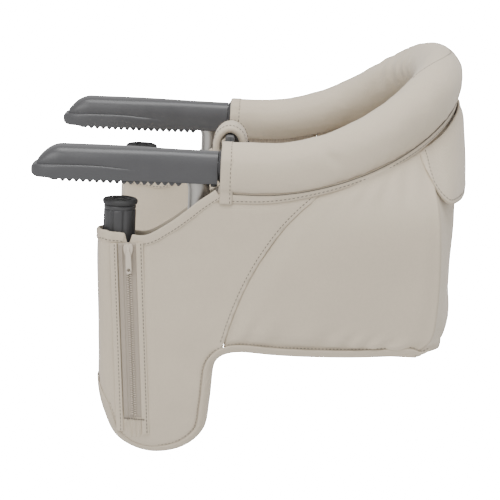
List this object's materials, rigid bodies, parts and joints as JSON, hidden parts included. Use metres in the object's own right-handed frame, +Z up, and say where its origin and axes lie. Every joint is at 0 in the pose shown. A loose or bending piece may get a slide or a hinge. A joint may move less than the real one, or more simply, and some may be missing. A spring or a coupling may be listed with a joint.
{
  "type": "hook on table chair",
  "caption": "Fabric child seat on a padded bent-tube rim, hung from a table edge by folding arms with serrated grip pads above and screw clamps below.",
  "frame": {"origin": "on the table-top plane, midway between the two rear hook legs", "axes": "+X from the table towards the backrest, +Z up, +Y to the far side of the picture"},
  "size_m": [0.4172, 0.3658, 0.3717],
  "materials": {
    "fabric": "woven, matt",
    "lining": "woven, matt",
    "arm_plastic": "satin moulded",
    "clamp_plastic": "satin moulded",
    "rubber": "matt moulded",
    "aluminium": "drawn, satin",
    "steel": "turned",
    "zip_plastic": "moulded",
    "buckle_plastic": "moulded",
    "webbing": "woven webbing"
  },
  "bodies": {
    "seat": {"rim_tube": "aluminium", "rim_pad": "fabric", "back_panel": "fabric", "seat_base": "fabric", "crotch_strap": "fabric", "buckle_socket": "buckle_plastic", "back_pocket": "lining", "left_side_panel": "fabric", "right_side_panel": "fabric", "left_collar": "clamp_plastic", "right_collar": "clamp_plastic", "left_pivot_bush": "clamp_plastic", "right_pivot_bush": "clamp_plastic", "left_belt": "webbing", "right_belt": "webbing"},
    "buckle_tongue": {"buckle_tongue": "buckle_plastic"},
    "pocket_flap": {"pocket_flap": "fabric"},
    "left_arm": {"left_arm_upper_cover": "arm_plastic", "left_arm_lower_cover": "arm_plastic", "left_shell_screw": "steel", "left_grip_pad": "rubber", "left_hook_tube": "aluminium", "left_pivot_hub": "steel", "left_lock_spring": "steel", "left_clamp_nut": "steel", "left_sleeve": "fabric", "left_zip_tape": "zip_plastic", "left_zip_chain": "zip_plastic"},
    "left_lock": {"left_lock_button": "buckle_plastic"},
    "left_foot": {"left_clamp_foot": "rubber"},
    "left_knob": {"left_clamp_barrel": "clamp_plastic", "left_clamp_spindle": "steel"},
    "left_zip_slider": {"left_zip_slider": "zip_plastic"},
    "left_zip_pull": {"left_zip_pull": "zip_plastic"},
    "right_arm": {"right_arm_upper_cover": "arm_plastic", "right_arm_lower_cover": "arm_plastic", "right_shell_screw": "steel", "right_grip_pad": "rubber", "right_hook_tube": "aluminium", "right_pivot_hub": "steel", "right_lock_spring": "steel", "right_clamp_nut": "steel", "right_sleeve": "fabric", "right_zip_tape": "zip_plastic", "right_zip_chain": "zip_plastic"},
    "right_lock": {"right_lock_button": "buckle_plastic"},
    "right_foot": {"right_clamp_foot": "rubber"},
    "right_knob": {"right_clamp_barrel": "clamp_plastic", "right_clamp_spindle": "steel"},
    "right_zip_slider": {"right_zip_slider": "zip_plastic"},
    "right_zip_pull": {"right_zip_pull": "zip_plastic"}
  },
  "joints": [
    {"name": "left_fold", "type": "hinge", "parent": "seat", "child": "left_arm", "pos_m": [0, -0.155, 0.0185], "axis": [1, 0, 0], "range_deg": [0, 106], "deforming": ["crotch_strap", "left_belt", "right_belt", "buckle_socket", "buckle_tongue"]},
    {"name": "left_lock_press", "type": "slide", "parent": "left_arm", "child": "left_lock", "axis": [0, 0, 1], "range_m": [0, 0.002], "stiffness_N_per_m": 300, "springref_m": -0.001, "deforming": ["left_lock_spring"]},
    {"name": "left_clamp_slide", "type": "slide", "parent": "left_arm", "child": "left_foot", "axis": [0, 0, -1], "range_m": [0, 0.072]},
    {"name": "left_clamp_turn", "type": "hinge", "parent": "left_foot", "child": "left_knob", "pos_m": [-0.073, -0.155, -0.06], "axis": [0, 0, -1], "range_deg": [0, 4326]},
    {"name": "left_zip_run", "type": "slide", "parent": "left_arm", "child": "left_zip_slider", "axis": [0.068, 0, -0.9977], "range_m": [0, 0.152]},
    {"name": "left_zip_pull_swing", "type": "hinge", "parent": "left_zip_slider", "child": "left_zip_pull", "pos_m": [-0.06256, -0.1798, -0.06048], "axis": [-0.9977, 0, -0.068], "range_deg": [0, 150]},
    {"name": "right_fold", "type": "hinge", "parent": "seat", "child": "right_arm", "pos_m": [0, 0.155, 0.0185], "axis": [-1, 0, 0], "range_deg": [0, 82], "deforming": ["crotch_strap", "left_belt", "right_belt", "buckle_socket", "buckle_tongue"]},
    {"name": "right_lock_press", "type": "slide", "parent": "right_arm", "child": "right_lock", "axis": [0, 0, 1], "range_m": [0, 0.002], "stiffness_N_per_m": 300, "springref_m": -0.001, "deforming": ["right_lock_spring"]},
    {"name": "right_clamp_slide", "type": "slide", "parent": "right_arm", "child": "right_foot", "axis": [0, 0, -1], "range_m": [0, 0.072]},
    {"name": "right_clamp_turn", "type": "hinge", "parent": "right_foot", "child": "right_knob", "pos_m": [-0.073, 0.155, -0.06], "axis": [0, 0, -1], "range_deg": [0, 4326]},
    {"name": "right_zip_run", "type": "slide", "parent": "right_arm", "child": "right_zip_slider", "axis": [0.068, 0, -0.9977], "range_m": [0, 0.152]},
    {"name": "right_zip_pull_swing", "type": "hinge", "parent": "right_zip_slider", "child": "right_zip_pull", "pos_m": [-0.06256, 0.1798, -0.06048], "axis": [0.9977, 0, 0.068], "range_deg": [0, 150]},
    {"name": "buckle_release", "type": "slide", "parent": "seat", "child": "buckle_tongue", "axis": [0, 1, 0], "range_m": [0, 0.014], "deforming": ["right_belt"]},
    {"name": "pocket_flap_swing", "type": "hinge", "parent": "seat", "child": "pocket_flap", "pos_m": [0.2443, 0, 0.0692], "axis": [0, -1, 0], "range_deg": [0, 100]}
  ],
  "couplings": [
    {"joint": "left_clamp_turn", "follows": "left_clamp_slide", "rad_per_m": 1047.2},
    {"joint": "right_clamp_turn", "follows": "right_clamp_slide", "rad_per_m": 1047.2}
  ]
}
